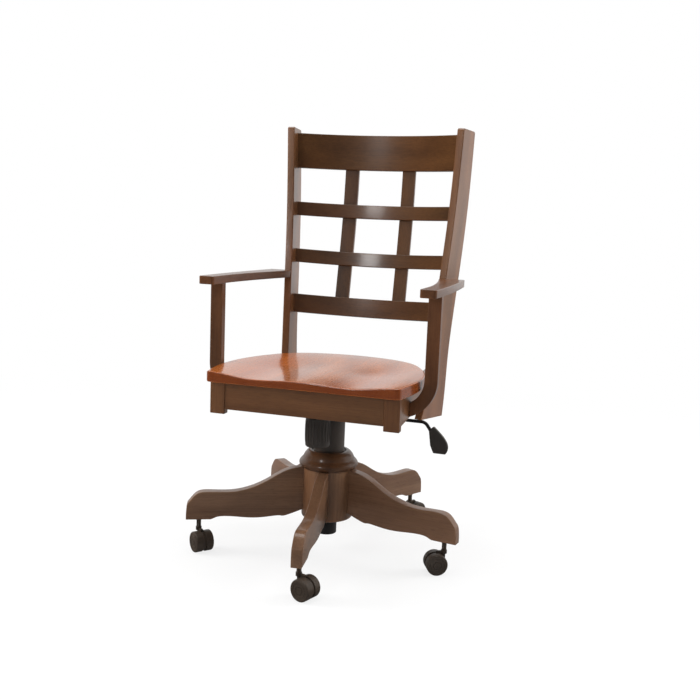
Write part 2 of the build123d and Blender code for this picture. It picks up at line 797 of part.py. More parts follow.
block_height = (seat_bottom - frame_bottom) * 0.6
front_block_y = frame_front + board
corner = Polyline((0, 0), (block_leg, 0), (block_leg, block_clip), (block_clip, block_leg),
                  (0, block_leg), (0, 0))
corner_prism = extrude(make_face(corner), block_height)
inner_x = frame_half - side_in_front - board / math.cos(math.radians(side_angle))
front_block = Pos(inner_x + eased, front_block_y, seat_bottom - block_height) * Rot(0, 0, 90) * corner_prism
front_block -= side_apron
rear_inner = inner_x - side_shift * (rear_apron_y - front_block_y) / side_run
rear_block = Pos(rear_inner + board / 2, rear_apron_y, seat_bottom - block_height) * Rot(
    0, 0, 180) * corner_prism
rear_block -= side_apron
rear_block = max(rear_block.solids(), key=lambda s: s.volume)
front_block = max(front_block.solids(), key=lambda s: s.volume)
save("corner_blocks", front_block, other_side(front_block), rear_block, other_side(rear_block))

# Seat: glued board, saddled for two thighs with a low ridge between them

seat_front = -224.0
seat_front_half = 227.0
seat_corner = 11.0
seat_wide_half = 241.0
seat_wide_y = -85.0
seat_rear_half = 187.0
seat_rear_y = 105.0
seat_back = 188.0
seat_ease = 3.0
scoop_depth = 11.0
scoop_front_share = 0.88
scoop_offset = 110.0
scoop_y = -60.0
scoop_end_y = 130.0
ridge_share = 0.45
scoop_grid = 17


def seat_outline():
    with BuildSketch() as outline:
        with BuildLine():
            Line((-seat_front_half, seat_front), (seat_front_half, seat_front))
            Spline((seat_front_half, seat_front), (seat_wide_half, seat_wide_y),
                   (seat_rear_half, seat_rear_y), tangents=[(0.22, 1), (-0.55, 1)])
            Spline((seat_rear_half, seat_rear_y), (0, seat_back), (-seat_rear_half, seat_rear_y),
                   tangents=[(-0.55, 1), (-0.55, -1)])
            Spline((-seat_rear_half, seat_rear_y), (-seat_wide_half, seat_wide_y),
                   (-seat_front_half, seat_front), tangents=[(-0.55, -1), (0.22, -1)])
        make_face()
        front_corners = outline.vertices().group_by(Axis.Y)[0]
        fillet(front_corners, seat_corner)
    return outline.sketch


def swell(share):
    """Smooth rise from zero to one over a share."""
    share = min(1.0, max(0.0, share))
    return share * share * (3 - 2 * share)


def hollow(x, y):
    """How deep the saddled top lies under the rim, as a share of the scoop's depth."""
    off = abs(x) / scoop_offset
    run_out = swell((scoop_end_y - y) / (scoop_end_y - scoop_y))
    forward = swell((scoop_y - y) / (scoop_y - seat_front))
    ridge = ridge_share * (1 - swell((y - scoop_y) / (scoop_end_y - scoop_y)))
    across = 1 - ridge * (1 - swell(off)) if off < 1 else 1 - swell(off - 1)
    return across * run_out * (1 - (1 - scoop_front_share) * forward)


def make_scoop():
    """Solid above the saddled surface, made from a smooth face through a formula's grid."""
    half = seat_wide_half + seat_corner
    low_y = seat_front - seat_corner
    high_y = seat_back + seat_corner
    grid = []
    for i in range(scoop_grid):
        row = []
        for j in range(scoop_grid):
            x = -half + 2 * half * i / (scoop_grid - 1)
            y = low_y + (high_y - low_y) * j / (scoop_grid - 1)
            row.append(Vector(x, y, seat_top + part_gap - scoop_depth * hollow(x, y)))
        grid.append(row)
    face = Face.make_surface_from_array_of_points(grid, tol=scoop_depth * 0.02, max_deg=4)
    return extrude(face, amount=seat_thickness, dir=(0, 0, 1))


seat = extrude(seat_outline(), seat_thickness)
seat = Pos(0, 0, seat_bottom) * seat
seat = fillet(seat.edges().group_by(Axis.Z)[0] + seat.edges().group_by(Axis.Z)[-1], seat_ease)
seat = seat - make_scoop()
for screw in plate_screws:
    seat -= screw

# Arm posts: J-shaped boards seen from the front, foot screwed to the side apron
arm_post_front = -96.0
arm_post_thickness = 20.0
arm_post_outer = 279.0
arm_post_width = 30.0
curl_inner = 60.0
curl_outer = 90.0
curl_z = 455.0
curl_turn = 78.0
arm_post_ease = 1.5


def make_arm_post():
    """Right arm post: straight strip that curls in under the seat to the apron."""
    inner = arm_post_outer - arm_post_width
    centre_x = arm_post_outer - curl_outer
    sin = math.sin(math.radians(curl_turn))
    cos = math.cos(math.radians(curl_turn))
    half_cos = math.cos(math.radians(curl_turn / 2))
    half_sin = math.sin(math.radians(curl_turn / 2))
    inside_end = (centre_x + curl_inner * cos, curl_z - curl_inner * sin)
    outside_end = (centre_x + curl_outer * cos, curl_z - curl_outer * sin)
    with BuildPart() as strip:
        with BuildSketch(Plane.XZ):
            with BuildLine():
                Polyline((arm_post_outer, curl_z), (arm_post_outer, arm_bottom),
                         (inner, arm_bottom), (inner, curl_z))
                ThreePointArc((inner, curl_z),
                              (centre_x + curl_inner * half_cos, curl_z - curl_inner * half_sin),
                              inside_end)
                Line(inside_end, outside_end)
                ThreePointArc(outside_end,
                              (centre_x + curl_outer * half_cos, curl_z - curl_outer * half_sin),
                              (arm_post_outer, curl_z))
            make_face()
        extrude(amount=arm_post_thickness)
        rims = [e for e in strip.edges() if e.length > curl_inner]
        fillet(rims, arm_post_ease)
    solid = Pos(0, arm_post_front + arm_post_thickness, 0) * strip.part
    solid -= side_apron
    return max(solid.solids(), key=lambda s: s.center().X)


arm_post = make_arm_post()
save("seat", max(seat.solids(), key=lambda s: s.volume))
save("seat_screws", *plate_screws)

# Arms: flat boards, wide where they are notched round the back posts
arm_front = -160.0
arm_front_outer = 279.5
arm_front_inner = 242.0
arm_corner = 7.0
arm_ease = 2.0
arm_back = 250.0
arm_back_outer = 266.0
arm_back_inner = 204.0
arm_notch = 29.0
notch_gap = 0.15
dowel_line_share = 0.35


def make_arm():
    """Right arm: flat board, straight outside, drawn in to the post and notched round it."""
    length = arm_back - arm_front
    narrowing = arm_front_inner - arm_back_inner
    inner_shares = [(0.42, 0.62), (0.12, 0.4), (0.0, 0.2)]
    inner = [(arm_front_inner - narrowing * n, arm_front + length * run) for n, run in inner_shares]
    with BuildPart() as arm:
        with BuildSketch() as plan:
            with BuildLine():
                Line((arm_front_inner, arm_front), (arm_front_outer, arm_front))
                Spline((arm_front_outer, arm_front), (arm_back_outer, arm_back),
                       tangents=[(0.03, 1), (-0.08, 1)])
                Polyline((arm_back_outer, arm_back), (arm_back_inner, arm_back),
                         (arm_back_inner, arm_back - arm_notch))
                Spline((arm_back_inner, arm_back - arm_notch), *inner, tangents=[(0.2, -1), (0, -1)])
                Line(inner[-1], (arm_front_inner, arm_front))
            make_face()
            fillet(plan.vertices().group_by(Axis.Y)[0], arm_corner)
        extrude(amount=board)
        fillet(arm.edges().group_by(Axis.Z)[0] + arm.edges().group_by(Axis.Z)[-1], arm_ease)
    solid = Pos(0, 0, arm_bottom) * arm.part
    solid = solid - right_post - Pos(notch_gap, 0, 0) * right_post
    return max(solid.solids(), key=lambda s: s.volume)


arm = make_arm()
arm_dowels = []
dowel_x = arm_post_outer - arm_post_width / 2
dowel_y = arm_post_front + arm_post_thickness / 2
arm_dowels.append(post_between(dowel_radius, arm_bottom - dowel_length / 2,
                               arm_bottom + board * 0.6, dowel_x, dowel_y))
post_share = on_edge(front_edge, arm_bottom + board / 2 - post_foot_z)
joint_depth = (front_edge @ post_share).X
joint = post_plane * Pos(-post_thickness * dowel_line_share, joint_depth,
                         arm_bottom + board / 2 - post_foot_z)
arm_dowels.append(joint * Rot(90, 0, 0) * Cylinder(dowel_radius * 0.8, dowel_length * 0.8))
for dowel in arm_dowels:
    arm -= dowel
    arm_post -= dowel
    right_post -= dowel
save("right_arm", arm)
save("left_arm", other_side(arm))
save("right_arm_post", arm_post)
save("left_arm_post", other_side(arm_post))
save("arm_dowels", *arm_dowels, *[other_side(d) for d in arm_dowels])
save("right_back_post", right_post)
save("left_back_post", other_side(right_post))
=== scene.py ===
import json
import math
import bmesh
import bpy
from mathutils import Matrix, Vector


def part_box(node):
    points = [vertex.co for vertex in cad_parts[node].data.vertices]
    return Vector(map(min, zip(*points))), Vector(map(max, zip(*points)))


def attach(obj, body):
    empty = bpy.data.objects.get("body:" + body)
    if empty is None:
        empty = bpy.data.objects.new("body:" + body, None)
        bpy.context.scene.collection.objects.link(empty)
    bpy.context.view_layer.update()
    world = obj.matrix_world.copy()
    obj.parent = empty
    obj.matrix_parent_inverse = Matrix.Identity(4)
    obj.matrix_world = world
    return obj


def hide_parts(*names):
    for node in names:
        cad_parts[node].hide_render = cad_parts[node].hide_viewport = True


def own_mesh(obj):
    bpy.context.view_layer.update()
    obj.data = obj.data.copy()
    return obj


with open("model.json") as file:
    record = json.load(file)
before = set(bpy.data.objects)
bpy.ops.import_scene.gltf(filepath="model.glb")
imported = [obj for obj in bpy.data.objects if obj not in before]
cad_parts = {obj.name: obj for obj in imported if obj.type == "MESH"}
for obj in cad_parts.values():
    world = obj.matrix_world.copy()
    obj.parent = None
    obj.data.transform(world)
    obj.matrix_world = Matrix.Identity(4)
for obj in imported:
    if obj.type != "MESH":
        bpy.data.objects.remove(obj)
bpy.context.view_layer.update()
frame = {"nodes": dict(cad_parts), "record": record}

nodes = frame["nodes"]
joints = {j["name"]: j for j in frame["record"]["behaviour"]["joints"]}
legCount = 5
legTurn = -10  # degrees from +X to the first leg
print("frame loaded:", len(nodes), "nodes")


# node helpers: an expression on sockets adds Math nodes

class Sock:
    def __init__(self, tree, out):
        self.tree = tree
        self.out = out

    def maths(self, operation, first, second):
        node = self.tree.nodes.new("ShaderNodeMath")
        node.operation = operation
        for place, value in enumerate((first, second)):
            if isinstance(value, Sock):
                self.tree.links.new(value.out, node.inputs[place])
            elif value is not None:
                node.inputs[place].default_value = value
        return Sock(self.tree, node.outputs[0])

    def __add__(self, other):
        return self.maths("ADD", self, other)

    def __radd__(self, other):
        return self.maths("ADD", other, self)

    def __sub__(self, other):
        return self.maths("SUBTRACT", self, other)

    def __rsub__(self, other):
        return self.maths("SUBTRACT", other, self)

    def __mul__(self, other):
        return self.maths("MULTIPLY", self, other)

    def __rmul__(self, other):
        return self.maths("MULTIPLY", other, self)

    def __truediv__(self, other):
        return self.maths("DIVIDE", self, other)


class Nodes:
    # one maker for every node of a shader or geometry tree
    def __init__(self, tree):
        self.tree = tree

    def make(self, kind, settings=None, values=None, out=0):
        node = self.tree.nodes.new(kind)
        for name, value in (settings or {}).items():
            setattr(node, name, value)
        for name, value in (values or {}).items():
            if isinstance(value, Sock):
                self.tree.links.new(value.out, node.inputs[name])
            else:
                node.inputs[name].default_value = value
        return Sock(self.tree, node.outputs[out])

    def mixColour(self, factor, first, second, blend="MIX"):
        return self.make("ShaderNodeMix", {"data_type": "RGBA", "blend_type": blend},
                         {0: factor, 6: first, 7: second}, out=2)

    def parts(self, vector):
        node = self.tree.nodes.new("ShaderNodeSeparateXYZ")
        self.tree.links.new(vector.out, node.inputs[0])
        return [Sock(self.tree, node.outputs[k]) for k in range(3)]

    def vector(self, x, y, z):
        return self.make("ShaderNodeCombineXYZ", None, {0: x, 1: y, 2: z})


def srgb(red, green, blue):
    # written as 0 to 255, as a picture shows it
    def linear(c):
        c = c / 255
        return c / 12.92 if c <= 0.04045 else ((c + 0.055) / 1.055) ** 2.4
    return (linear(red), linear(green), linear(blue), 1.0)


def newFinish(name):
    finish = bpy.data.materials.new(name)
    finish.use_nodes = True
    tree = finish.node_tree
    tree.nodes.clear()
    return finish, Nodes(tree)


def closeFinish(n, values, bump=None):
    surface = n.tree.nodes.new("ShaderNodeBsdfPrincipled")
    for name, value in values.items():
        if isinstance(value, Sock):
            n.tree.links.new(value.out, surface.inputs[name])
        else:
            surface.inputs[name].default_value = value
    if bump is not None:
        n.tree.links.new(bump.out, surface.inputs["Normal"])
    end = n.tree.nodes.new("ShaderNodeOutputMaterial")
    n.tree.links.new(surface.outputs[0], end.inputs[0])


# finishes

woodLook = {
    "dark": srgb(48, 31, 16), "light": srgb(102, 68, 37), "warm": srgb(106, 58, 25),
    "warmShare": 0.35, "streak": 1.0, "pore": 0.55, "rough": 0.36, "coat": 0.45, "coatRough": 0.14,
    "gloss": 0.3, "streakFine": 330, "broadFine": 42, "poreFine": 1100, "bandAcross": 26, "bandDeep": 19,
    "bandSway": 3.2, "bump": 0.12, "bumpDeep": 0.0004,
}


def stainedWood(name, grain="Z", turn=(0, 0, 0), look=None, staves=0, shift=(0, 0, 0), radial=False):
    # stained board: soft bands, fine streaks and pores that run along its grain
    look = {**woodLook, **(look or {})}
    finish, n = newFinish(name)
    place = n.make("ShaderNodeTexCoord", out=3)
    if radial:
        # every leg's grain runs outwards from the column
        x, y, z = n.parts(place)
        angle = n.make("ShaderNodeMath", {"operation": "ARCTAN2"}, {0: y, 1: x})
        sector = 2 * math.pi / legCount
        part = (angle + math.radians(360 - legTurn + 180 / legCount)) / sector
        leg = n.make("ShaderNodeMath", {"operation": "FLOOR"}, {0: part})
        inside = (part - leg - 0.5) * sector
        reach = n.make("ShaderNodeMath", {"operation": "SQRT"}, {0: x * x + y * y})
        side = reach * n.make("ShaderNodeMath", {"operation": "SINE"}, {0: inside})
        along, across, deep = reach + leg * 0.37, side + leg * 1.7, z
    else:
        turned = n.make("ShaderNodeMapping", None,
                        {"Vector": place, "Rotation": turn, "Location": shift})
        x, y, z = n.parts(turned)
        along, across, deep = {"X": (x, y, z), "Y": (y, z, x), "Z": (z, x, y)}[grain]
    if staves:
        stave = n.make("ShaderNodeMath", {"operation": "FLOOR"}, {0: across / staves + 0.5})
        along = along + stave * 0.731
        staveTone = n.make("ShaderNodeTexWhiteNoise", {"noise_dimensions": "1D"}, {"W": stave})
    sway = n.make("ShaderNodeTexNoise", None,
                  {"Vector": n.vector(along * 5, across * 9, deep * 9), "Scale": 1.0, "Detail": 2.0})
    bandPlace = (across * look["bandAcross"] + deep * look["bandDeep"] + sway * look["bandSway"]
                 + along * 0.8)
    band = n.make("ShaderNodeMath", {"operation": "SINE"}, {0: bandPlace * 3.1}) * 0.5 + 0.5
    streak = n.make("ShaderNodeTexNoise", None, {
        "Vector": n.vector(along * 7, across * look["streakFine"], deep * look["streakFine"]),
        "Scale": 1.0, "Detail": 4.0, "Roughness": 0.62})
    broad = n.make("ShaderNodeTexNoise", None, {
        "Vector": n.vector(along * 4, across * look["broadFine"], deep * look["broadFine"]),
        "Scale": 1.0, "Detail": 3.0})
    pore = n.make("ShaderNodeTexNoise", None, {
        "Vector": n.vector(along * 55, across * look["poreFine"], deep * look["poreFine"]),
        "Scale": 1.0, "Detail": 1.0})
    poreMask = n.make("ShaderNodeMapRange", None, {
        "Value": pore, "From Min": 0.60, "From Max": 0.70, "To Min": 0.0, "To Max": look["pore"]})
    tone = streak * 0.75 * look["streak"] + broad * 0.45 + band * 0.22 - 0.26
    if staves:
        tone = tone + staveTone * 0.22 - 0.11
    toneMask = n.make("ShaderNodeClamp", None, {0: tone})
    base = n.mixColour(toneMask, look["dark"], look["light"])
    warmth = n.make("ShaderNodeTexNoise", None, {
        "Vector": n.vector(along * 2.2, across * 6, deep * 6), "Scale": 1.0, "Detail": 1.0})
    warmMask = n.make("ShaderNodeClamp", None, {0: (warmth - 0.32) * 2.0 * look["warmShare"]})
    base = n.mixColour(warmMask, base, look["warm"])
    shade = n.make("ShaderNodeClamp", None, {0: 1.0 - poreMask * 0.55})
    base = n.mixColour(1.0 - shade, base, tuple(c * 0.3 for c in look["dark"][:3]) + (1.0,))
    rough = n.make("ShaderNodeClamp", None, {0: look["rough"] + streak * 0.10 - 0.05 + poreMask * 0.12})
    height = streak * 0.5 - poreMask * 0.9
    bump = n.make("ShaderNodeBump", None, {
        "Strength": look["bump"], "Distance": look["bumpDeep"], "Height": height})
    if look.get("paintedSideShade"):
        # painted shade: the rim round the edge is mixed towards the dark colour, so the less lit side faces
        # read darker than the top
        edge = n.make("ShaderNodeAttribute", {"attribute_name": "paintedSideShade"}, out=2)
        base = n.mixColour(edge * look["paintedSideShade"], base, look["dark"])
    closeFinish(n, {"Base Color": base, "Roughness": rough, "Coat Weight": look["coat"],
                    "Coat Roughness": look["coatRough"], "Specular IOR Level": look["gloss"]}, bump)
    return finish


def mouldedPlastic(name, colour, rough=0.45, grainSize=900.0, bumpSize=0.10, wear=0.25):
    # black moulded plastic: fine spark grain, a little dust and rubbed sheen
    finish, n = newFinish(name)
    place = n.make("ShaderNodeTexCoord", out=3)
    fine = n.make("ShaderNodeTexNoise", None, {"Vector": place, "Scale": grainSize, "Detail": 2.0})
    dust = n.make("ShaderNodeTexNoise", None, {"Vector": place, "Scale": 38.0, "Detail": 4.0})
    dustMask = n.make("ShaderNodeMapRange", None, {
        "Value": dust, "From Min": 0.45, "From Max": 0.75, "To Min": 0.0, "To Max": wear})
    pale = tuple(min(1.0, c * 2.4 + 0.01) for c in colour[:3]) + (1.0,)
    base = n.mixColour(dustMask, colour, pale)
    roughness = n.make("ShaderNodeClamp", None, {0: rough + dustMask * 0.5 + fine * 0.08 - 0.04})
    bump = n.make("ShaderNodeBump", None, {"Strength": bumpSize, "Distance": 0.0002, "Height": fine})
    closeFinish(n, {"Base Color": base, "Roughness": roughness}, bump)
    return finish


def workedSteel(name, colour, rough=0.3, metallic=1.0, brush=(40.0, 40.0, 900.0), coat=0.0):
    # turned, drawn or powder-coated steel
    finish, n = newFinish(name)
    place = n.make("ShaderNodeTexCoord", out=3)
    stretched = n.make("ShaderNodeMapping", None, {"Vector": place, "Scale": brush})
    lines = n.make("ShaderNodeTexNoise", None, {"Vector": stretched, "Scale": 1.0, "Detail": 3.0})
    blotch = n.make("ShaderNodeTexNoise", None, {"Vector": place, "Scale": 60.0, "Detail": 3.0})
    dark = tuple(c * 0.72 for c in colour[:3]) + (1.0,)
    base = n.mixColour(n.make("ShaderNodeClamp", None, {0: blotch * 0.8 + lines * 0.3 - 0.1}), dark, colour)
    roughness = n.make("ShaderNodeClamp", None, {0: rough + lines * 0.16 - 0.08 + blotch * 0.06})
    bump = n.make("ShaderNodeBump", None, {"Strength": 0.10, "Distance": 0.0002, "Height": lines})
    closeFinish(n, {"Base Color": base, "Roughness": roughness, "Metallic": metallic,
                    "Coat Weight": coat}, bump)
    return finish


# mesh helpers

boardCare = {"merge": 0.00002, "flatAngle": 0.6, "faceWeight": 80}


def addPiece(name, mesh, body, finish, stands=()):
    piece = bpy.data.objects.new(name, mesh)
    bpy.context.scene.collection.objects.link(piece)
    mesh.materials.clear()
    mesh.materials.append(finish)
    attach(piece, body)
    if stands:
        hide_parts(*stands)
    return piece


def bakedCopy(piece):
    # the evaluated mesh of an object, as plain data with no modifier left
    bpy.context.view_layer.update()
    deps = bpy.context.evaluated_depsgraph_get()
    mesh = bpy.data.meshes.new_from_object(piece.evaluated_get(deps), depsgraph=deps)
    bpy.data.objects.remove(piece)
    return mesh


def smoothed(mesh, angle=32.0):
    mesh.shade_smooth()
    mesh.set_sharp_from_angle(angle=math.radians(angle))
    return mesh


def mergedMesh(nodeName):
    mesh = nodes[nodeName].data.copy()
    cage = bmesh.new()
    cage.from_mesh(mesh)
    bmesh.ops.remove_doubles(cage, verts=cage.verts, dist=boardCare["merge"])
    flat = math.radians(boardCare["flatAngle"])
    bmesh.ops.dissolve_limit(cage, angle_limit=flat, verts=cage.verts, edges=cage.edges)
    cage.to_mesh(mesh)
    cage.free()
    return mesh


def easedBoard(nodeName, body, finish, slot, edge=0.0016, rounds=3, corner=34.0, reshape=None):
    # a board of the frame with its sharp edges sanded round
    mesh = mergedMesh(nodeName)
    if reshape:
        reshape(mesh)
    mesh.shade_smooth()
    board = bpy.data.objects.new("cage_" + nodeName, mesh)
    bpy.context.scene.collection.objects.link(board)
    bevel = board.modifiers.new("sanded", "BEVEL")
    bevel.width = edge
    bevel.segments = rounds
    bevel.limit_method = "ANGLE"
    bevel.angle_limit = math.radians(corner)
    bevel.use_clamp_overlap = True
    bevel.miter_outer = "MITER_ARC"
    # large faces keep their own normals, so that a board reflects as a flat board
    flat = board.modifiers.new("flat faces", "WEIGHTED_NORMAL")
    flat.mode = "FACE_AREA"
    flat.weight = boardCare["faceWeight"]
    return addPiece(nodeName + "_board", bakedCopy(board), body, finish, [nodeName])


def turnedMesh(name, profile, centre=(0, 0, 0), axis=(0, 0, 1), steps=72):
    # a lathe: profile points are (radius, place along the axis), outside first to last
    up = Vector(axis).normalized()
    side = up.orthogonal().normalized()
    other = up.cross(side)
    cage = bmesh.new()
    rings = []
    for radius, along in profile:
        base = Vector(centre) + up * along
        if radius < 1e-7:
            rings.append([cage.verts.new(base)])
            continue
        ring = []
        for k in range(steps):
            turn = 2 * math.pi * k / steps
            spoke = side * math.cos(turn) + other * math.sin(turn)
            ring.append(cage.verts.new(base + spoke * radius))
        rings.append(ring)
    for first, second in zip(rings, rings[1:]):
        for k in range(steps):
            m = (k + 1) % steps
            if len(first) == 1 and len(second) == 1:
                continue
            if len(first) == 1:
                cage.faces.new((first[0], second[m], second[k]))
            elif len(second) == 1:
                cage.faces.new((first[k], first[m], second[0]))
            else:
                cage.faces.new((first[k], first[m], second[m], second[k]))
    bmesh.ops.recalc_face_normals(cage, faces=cage.faces)
    mesh = bpy.data.meshes.new(name)
    cage.to_mesh(mesh)
    cage.free()
    return mesh


def roundedProfile(points, sizes, steps=5):
    # corner points with a rounding radius each; zero keeps the corner
    line = []
    for k, (point, size) in enumerate(zip(points, sizes)):
        here = Vector(point)
        if size == 0 or k in (0, len(points) - 1):
            line.append(tuple(here))
            continue
        back = (Vector(points[k - 1]) - here)
        ahead = (Vector(points[k + 1]) - here)
        reach = min(size, back.length * 0.49, ahead.length * 0.49)
        start = here + back.normalized() * reach
        end = here + ahead.normalized() * reach
        for s in range(steps + 1):
            t = s / steps
            line.append(tuple(start.lerp(here, t).lerp(here.lerp(end, t), t)))
    return line


# geometry node helpers

def newTree(name, inputs):
    tree = bpy.data.node_groups.new(name, "GeometryNodeTree")
    tree.interface.new_socket("Geometry", in_out="INPUT", socket_type="NodeSocketGeometry")
    tree.interface.new_socket("Geometry", in_out="OUTPUT", socket_type="NodeSocketGeometry")
    for label, (kind, value) in inputs.items():
        socket = tree.interface.new_socket(label, in_out="INPUT", socket_type=kind)
        if value is not None:
            socket.default_value = value
    start = tree.nodes.new("NodeGroupInput")
    given = {s.name: Sock(tree, start.outputs[s.name]) for s in start.outputs if s.name}
    return tree, Nodes(tree), given


def endTree(n, geometry, finish):
    whole = n.make("GeometryNodeRealizeInstances", None, {0: geometry})
    painted = n.make("GeometryNodeSetMaterial", None, {"Geometry": whole, "Material": finish})
    end = n.tree.nodes.new("NodeGroupOutput")
    n.tree.links.new(painted.out, end.inputs[0])


def grown(name, tree, values, start=None):
    # runs a geometry tree on a mesh and returns the plain result
    mesh = start or bpy.data.meshes.new(name + "_start")
    holder = bpy.data.objects.new(name + "_holder", mesh)
    bpy.context.scene.collection.objects.link(holder)
    modifier = holder.modifiers.new("grow", "NODES")
    modifier.node_group = tree
    for item in tree.interface.items_tree:
        if item.in_out == "INPUT" and item.name in values:
            modifier[item.identifier] = values[item.name]
    return bakedCopy(holder)


# finishes of this chair

# the seat look also darkens the seat's side rim: painted shade
seatLook = {"dark": srgb(102, 43, 10), "light": srgb(188, 106, 38), "warm": srgb(168, 73, 16),
            "warmShare": 0.5, "pore": 0.4, "rough": 0.26, "coat": 0.66, "coatRough": 0.13, "gloss": 0.4,
            "paintedSideShade": 0.85}
sideLook = {"dark": srgb(54, 33, 18), "light": srgb(110, 72, 42), "warm": srgb(114, 56, 26),
            "warmShare": 0.4}
postLook = {"dark": srgb(66, 43, 26), "light": srgb(130, 89, 57), "warm": srgb(124, 67, 36),
            "warmShare": 0.36}
hubLook = {"dark": srgb(74, 51, 35), "light": srgb(134, 98, 70), "warm": srgb(120, 74, 46),
           "warmShare": 0.3}
capLook = {"dark": srgb(46, 30, 19), "light": srgb(92, 64, 43), "warm": srgb(92, 52, 30),
           "warmShare": 0.3}
legLook = {"dark": srgb(73, 51, 36), "light": srgb(130, 98, 74), "warm": srgb(118, 76, 50),
           "warmShare": 0.3}
apronLook = {"dark": srgb(66, 42, 24), "light": srgb(120, 80, 48), "warm": srgb(116, 66, 34),
             "warmShare": 0.3}
# the crest rail shows less sheen in the photo than the slats do
crestLook = {"warmShare": 0.45, "coat": 0.16, "coatRough": 0.2, "gloss": 0.16}

postTilt = math.radians(8.0)
seatFinish = stainedWood("seat stain", "Y", look=seatLook, staves=0.072)
railFinish = stainedWood("rail stain", "X", look={"warmShare": 0.45})
crestFinish = stainedWood("crest stain", "X", look=crestLook)
slatFinish = stainedWood("slat stain", "X", shift=(0.3, 0.2, 0.7))
uprightFinish = stainedWood("upright stain", "Z", shift=(0.1, 0.5, 0.2))
postFinish = stainedWood("post stain", "Z", turn=(postTilt, 0, 0), look=postLook)
armFinish = stainedWood("arm stain", "Y", look=sideLook, shift=(0.2, 0.1, 0))
armPostFinish = stainedWood("arm post stain", "Z", look=sideLook, shift=(0.5, 0.3, 0.4))
apronFinish = stainedWood("apron stain", "X", look=apronLook, shift=(0.1, 0.8, 0.1))
sideApronFinish = stainedWood("side apron stain", "Y", look=apronLook, shift=(0.6, 0.1, 0.1))
stubFinish = stainedWood("stub stain", "Z", look=apronLook, shift=(0.2, 0.9, 0.3))
legFinish = stainedWood("leg stain", look=legLook, radial=True)
hubFinish = stainedWood("hub stain", "Z", look=hubLook, shift=(0.4, 0.4, 0.9))
capFinish = stainedWood("cap stain", "Z", look=capLook, shift=(0.7, 0.1, 0.3))
rawLook = {"dark": srgb(150, 112, 74), "light": srgb(205, 170, 125), "warm": srgb(190, 140, 90),
           "warmShare": 0.3, "rough": 0.6, "coat": 0.0}
rawFinish = stainedWood("raw wood", "X", look=rawLook)
rawPegFinish = stainedWood("raw peg", "Z", look=rawLook)

coverFinish = mouldedPlastic("cover plastic", srgb(58, 50, 44), 0.40, wear=0.12)
gripFinish = mouldedPlastic("grip plastic", srgb(52, 46, 41), 0.46, bumpSize=0.2, wear=0.12)
casterFinish = mouldedPlastic("caster plastic", srgb(54, 44, 35), 0.34, wear=0.2)
treadFinish = mouldedPlastic("tread plastic", srgb(55, 45, 36), 0.40, wear=0.3)
bushingFinish = mouldedPlastic("bushing plastic", srgb(205, 200, 182), 0.5)
valveFinish = mouldedPlastic("valve plastic", srgb(170, 30, 24), 0.4)
coatedSteel = workedSteel("coated steel", srgb(30, 29, 29), 0.42, metallic=0.2,
                          brush=(300, 300, 300), coat=0.1)
tubeSteel = workedSteel("tube steel", srgb(38, 36, 36), 0.36, metallic=0.3,
                        brush=(60, 60, 700), coat=0.15)
groundSteel = workedSteel("ground steel", srgb(176, 176, 178), 0.26)
springSteel = workedSteel("spring steel", srgb(120, 120, 124), 0.34, brush=(500, 500, 500))
print("finishes made")


# seat

seatSizes = {
    "front": -0.224, "frontHalf": 0.227, "corner": 0.011, "wideHalf": 0.241, "wideY": -0.085,
    "rearHalf": 0.187, "rearY": 0.105, "back": 0.188, "edge": 0.0032, "underEdge": 0.003,
    "depth": 0.0098, "frontShare": 0.96, "offset": 0.110, "scoopY": -0.060, "scoopEnd": 0.155,
    "ridge": 0.45, "around": 320, "inward": 30,
}


def swell(share):
    share = min(1.0, max(0.0, share))
    return share * share * (3 - 2 * share)


def hollow(s, x, y):
    # depth of the saddled top under its rim, in metres
    off = abs(x) / s["offset"]
    runOut = swell((s["scoopEnd"] - y) / (s["scoopEnd"] - s["scoopY"]))
    forward = swell((s["scoopY"] - y) / (s["scoopY"] - s["front"]))
    ridge = s["ridge"] * (1 - swell((y - s["scoopY"]) / (s["scoopEnd"] - s["scoopY"])))
    across = 1 - ridge * (1 - swell(off)) if off < 1 else 1 - swell(off - 1)
    return s["depth"] * across * runOut * (1 - (1 - s["frontShare"]) * forward)


def hermite(points, tangents, steps):
    line = []
    for (p, q, u, v) in zip(points, points[1:], tangents, tangents[1:]):
        p, q, u, v = Vector(p), Vector(q), Vector(u), Vector(v)
        reach = (q - p).length
        u, v = u.normalized() * reach, v.normalized() * reach
        for k in range(steps):
            t = k / steps
            line.append(p * (2 * t ** 3 - 3 * t ** 2 + 1) + u * (t ** 3 - 2 * t ** 2 + t)
                        + q * (3 * t ** 2 - 2 * t ** 3) + v * (t ** 3 - t ** 2))
    line.append(Vector(points[-1]))
    return line


def evenly(line, count):
    # the same closed line with evenly spaced points
    reach = [0.0]
    for a, b in zip(line, line[1:] + line[:1]):
        reach.append(reach[-1] + (b - a).length)
    closed = line + line[:1]
    out = []
    k = 0
    for s in range(count):
        want = reach[-1] * s / count
        while reach[k + 1] < want:
            k += 1
        t = (want - reach[k]) / max(1e-9, reach[k + 1] - reach[k])
        out.append(closed[k].lerp(closed[k + 1], t))
    return out


def seatOutline(s):
    half = hermite([(s["frontHalf"], s["front"] + s["corner"]), (s["wideHalf"], s["wideY"]),
                    (s["rearHalf"], s["rearY"]), (0, s["back"])],
                   [(0.22, 1), (-0.02, 1), (-0.55, 1), (-1, 0)], 60)
    centre = Vector((s["frontHalf"] - s["corner"], s["front"] + s["corner"]))
    arc = [centre + s["corner"] * Vector((math.cos(a), math.sin(a)))
           for a in [math.radians(-90 + 90 * k / 8) for k in range(8)]]
    right = arc + half
    left = [Vector((-p.x, p.y)) for p in reversed(right[:-1])]
    return evenly(right + left, s["around"])


